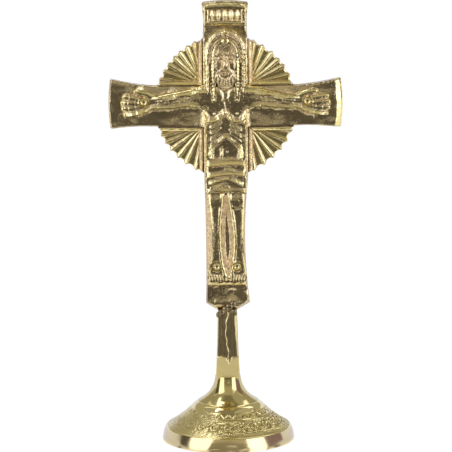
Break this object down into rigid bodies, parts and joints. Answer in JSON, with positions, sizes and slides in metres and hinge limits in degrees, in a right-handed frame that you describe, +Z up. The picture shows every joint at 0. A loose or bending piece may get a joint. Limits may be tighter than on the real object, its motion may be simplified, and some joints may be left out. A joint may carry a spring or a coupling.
{
  "type": "standing crucifix",
  "caption": "Standing brass crucifix: flared cross with a relief figure and corner ray fans, on a faceted stem and a round domed foot.",
  "frame": {"origin": "centre of the foot's underside, on the table plane", "axes": "+Z up along the stem, +X along the crossbar to the viewer's right, the relief faces -Y"},
  "size_m": [0.1084, 0.062, 0.2068],
  "materials": {
    "polished_brass": "turned and polished",
    "cast_brass": "cast, dark in the hollows and polished on the high places",
    "fastener_steel": "plain zinc-plated steel"
  },
  "bodies": {
    "root": {"foot_dome": "polished_brass", "neck": "polished_brass", "stem": "polished_brass", "stud": "fastener_steel", "washer": "fastener_steel", "nut": "fastener_steel", "cross_plate": "cast_brass", "ray_fan_upper_right": "cast_brass", "ray_fan_upper_left": "cast_brass", "ray_fan_lower_right": "cast_brass", "ray_fan_lower_left": "cast_brass", "title_plate": "cast_brass", "corpus": "cast_brass", "footrest": "cast_brass", "hand_nails": "cast_brass", "foot_nails": "cast_brass"}
  },
  "joints": []
}
